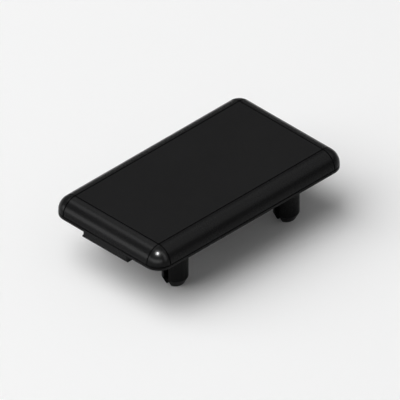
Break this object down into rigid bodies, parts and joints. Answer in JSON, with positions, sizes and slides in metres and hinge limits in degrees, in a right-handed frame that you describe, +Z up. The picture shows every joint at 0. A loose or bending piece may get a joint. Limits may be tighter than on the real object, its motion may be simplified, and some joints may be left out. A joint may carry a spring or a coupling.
{
  "type": "profile end cap",
  "caption": "Rounded press-in end cap for a slotted hollow bar: a flat-topped crown with a soft rim, tabs that drop into the slot mouths, and split pegs.",
  "frame": {"origin": "middle of the flat seating face under the crown", "axes": "+X along the long side, +Y along the short side, +Z up through the crown; the pegs point to -Z"},
  "size_m": [0.0316, 0.018, 0.0085],
  "materials": {
    "black_plastic": "near-black moulded nylon, fine even grain on the flat top, smoother satin rim"
  },
  "bodies": {
    "root": {"end_cap": "black_plastic"}
  },
  "joints": []
}
